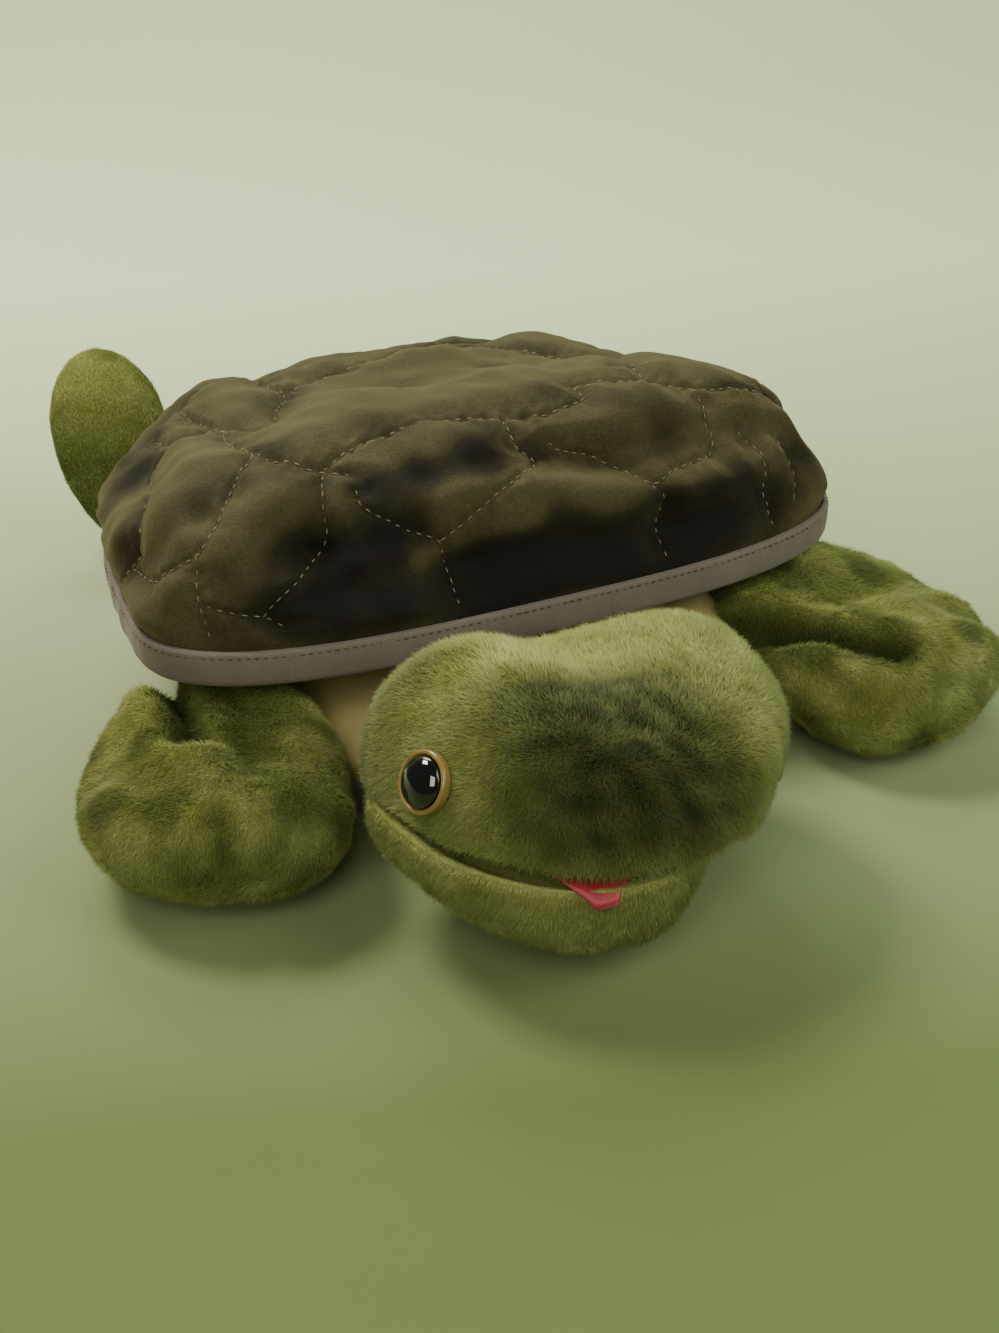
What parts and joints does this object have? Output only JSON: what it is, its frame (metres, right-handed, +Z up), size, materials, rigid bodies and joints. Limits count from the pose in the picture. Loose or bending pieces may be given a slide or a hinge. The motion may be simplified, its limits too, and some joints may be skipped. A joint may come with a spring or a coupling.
{
  "type": "plush turtle",
  "caption": "Plush turtle with a loose quilted shell, a cream belly pillow, flippers that swing, and a head that nods and opens its mouth.",
  "frame": {"origin": "middle of the flat belly panel, on the floor", "axes": "+Z up, the turtle faces -Y, +X is its left side"},
  "size_m": [0.33, 0.4126, 0.1194],
  "materials": {
    "velour_shell": "quilted velour",
    "lining_cloth": "plain cloth",
    "binding_tape": "matt woven tape",
    "cream_velour": "short velour",
    "green_plush": "soft pile",
    "fibre_stuffing": "loose fibre",
    "red_cloth": "satin",
    "stiffener_board": "matt",
    "amber_plastic": "gloss",
    "black_plastic": "high gloss",
    "washer_plastic": "matt"
  },
  "bodies": {
    "shell_and_belly": {"carapace_quilt": "velour_shell", "carapace_lining": "lining_cloth", "carapace_binding": "binding_tape", "side_gusset_right": "green_plush", "side_gusset_left": "green_plush", "belly_cover": "cream_velour", "belly_stuffing": "fibre_stuffing", "belly_base_panel": "cream_velour", "belly_binding": "binding_tape"},
    "neck": {"neck_sleeve": "green_plush"},
    "jaw": {"jaw_skin": "green_plush", "jaw_stuffing": "fibre_stuffing", "lower_mouth_lining": "red_cloth", "lower_mouth_board": "stiffener_board", "tongue": "red_cloth"},
    "head": {"head_skin": "green_plush", "head_stuffing": "fibre_stuffing", "upper_mouth_lining": "red_cloth", "upper_mouth_board": "stiffener_board", "eye_cup_right": "amber_plastic", "eye_cup_left": "amber_plastic", "eye_pupil_right": "black_plastic", "eye_pupil_left": "black_plastic", "eye_washer_right": "washer_plastic", "eye_washer_left": "washer_plastic"},
    "front_flipper_right": {"front_flipper_right_skin": "green_plush", "front_flipper_right_stuffing": "fibre_stuffing"},
    "front_flipper_left": {"front_flipper_left_skin": "green_plush", "front_flipper_left_stuffing": "fibre_stuffing"},
    "rear_flipper_right": {"rear_flipper_right_skin": "green_plush", "rear_flipper_right_stuffing": "fibre_stuffing"},
    "rear_flipper_left": {"rear_flipper_left_skin": "green_plush", "rear_flipper_left_stuffing": "fibre_stuffing"},
    "tail": {"tail": "green_plush"}
  },
  "joints": [
    {"name": "neck_turn", "type": "hinge", "parent": "shell_and_belly", "child": "neck", "pos_m": [-0.026, -0.19, 0.044], "axis": [0, 0, 1], "range_deg": [-18, 10], "deforming": ["neck_sleeve"]},
    {"name": "head_nod", "type": "hinge", "parent": "neck", "child": "jaw", "pos_m": [-0.026, -0.19, 0.044], "axis": [-0.9986, -0.0523, 0], "range_deg": [0, 6]},
    {"name": "mouth_open", "type": "hinge", "parent": "jaw", "child": "head", "pos_m": [-0.03653, -0.14183, 0.03201], "axis": [-0.9779, -0.0295, 0.2068], "range_deg": [0, 25]},
    {"name": "front_right_swing", "type": "hinge", "parent": "shell_and_belly", "child": "front_flipper_right", "pos_m": [-0.11033, -0.084, 0.024], "axis": [0, 0, 1], "range_deg": [-35, 0]},
    {"name": "front_left_swing", "type": "hinge", "parent": "shell_and_belly", "child": "front_flipper_left", "pos_m": [0.11033, -0.084, 0.024], "axis": [0, 0, 1], "range_deg": [-4, 35]},
    {"name": "rear_right_flap", "type": "hinge", "parent": "shell_and_belly", "child": "rear_flipper_right", "pos_m": [-0.05852, 0.07283, 0.0225], "axis": [0.7071, 0.7071, 0], "range_deg": [-16, 12]},
    {"name": "rear_left_flap", "type": "hinge", "parent": "shell_and_belly", "child": "rear_flipper_left", "pos_m": [0.05852, 0.07283, 0.0225], "axis": [0.7071, -0.7071, 0], "range_deg": [0, 25]},
    {"name": "tail_wag", "type": "hinge", "parent": "shell_and_belly", "child": "tail", "pos_m": [0, 0.0973, 0.024], "axis": [0, 0, 1], "range_deg": [-25, 25]}
  ]
}
